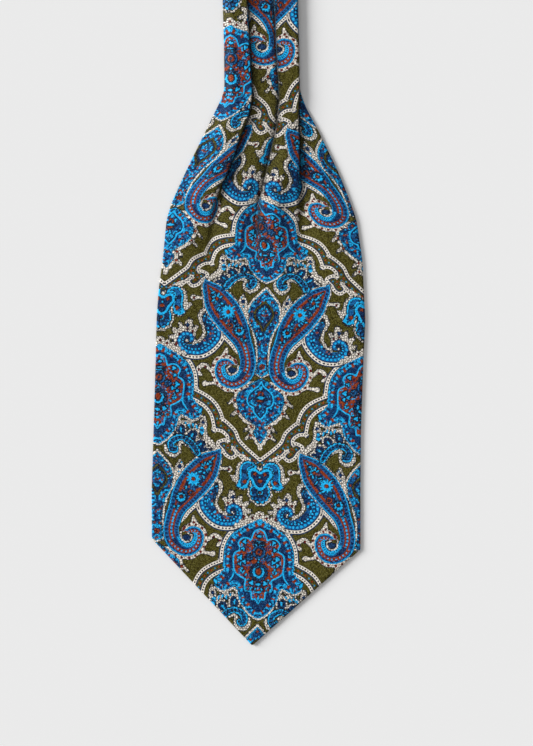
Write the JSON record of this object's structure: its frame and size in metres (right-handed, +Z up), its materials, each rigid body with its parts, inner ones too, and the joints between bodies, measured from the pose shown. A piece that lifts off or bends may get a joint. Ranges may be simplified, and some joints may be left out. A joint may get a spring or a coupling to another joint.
{
  "type": "silk cravat",
  "caption": "Day cravat of printed silk laid flat: broad pointed ends that narrow through an open fan of knife pleats into a pressed, pleated neckband.",
  "frame": {"origin": "bottom centre of the cravat's bounding box, on the surface it lies on and under the centre-back seam of the neckband", "axes": "+Y along the cravat from the front end's point to the rear end's, +X across it to the right of the front end seen from above, +Z up through the cloth from back to face"},
  "size_m": [0.1556, 1.2, 0.0081],
  "materials": {
    "printed_silk": "printed silk twill with a soft sheen"
  },
  "bodies": {
    "root": {"front_end_face": "printed_silk", "front_end_back": "printed_silk", "rear_end_face": "printed_silk", "rear_end_back": "printed_silk"}
  },
  "joints": []
}
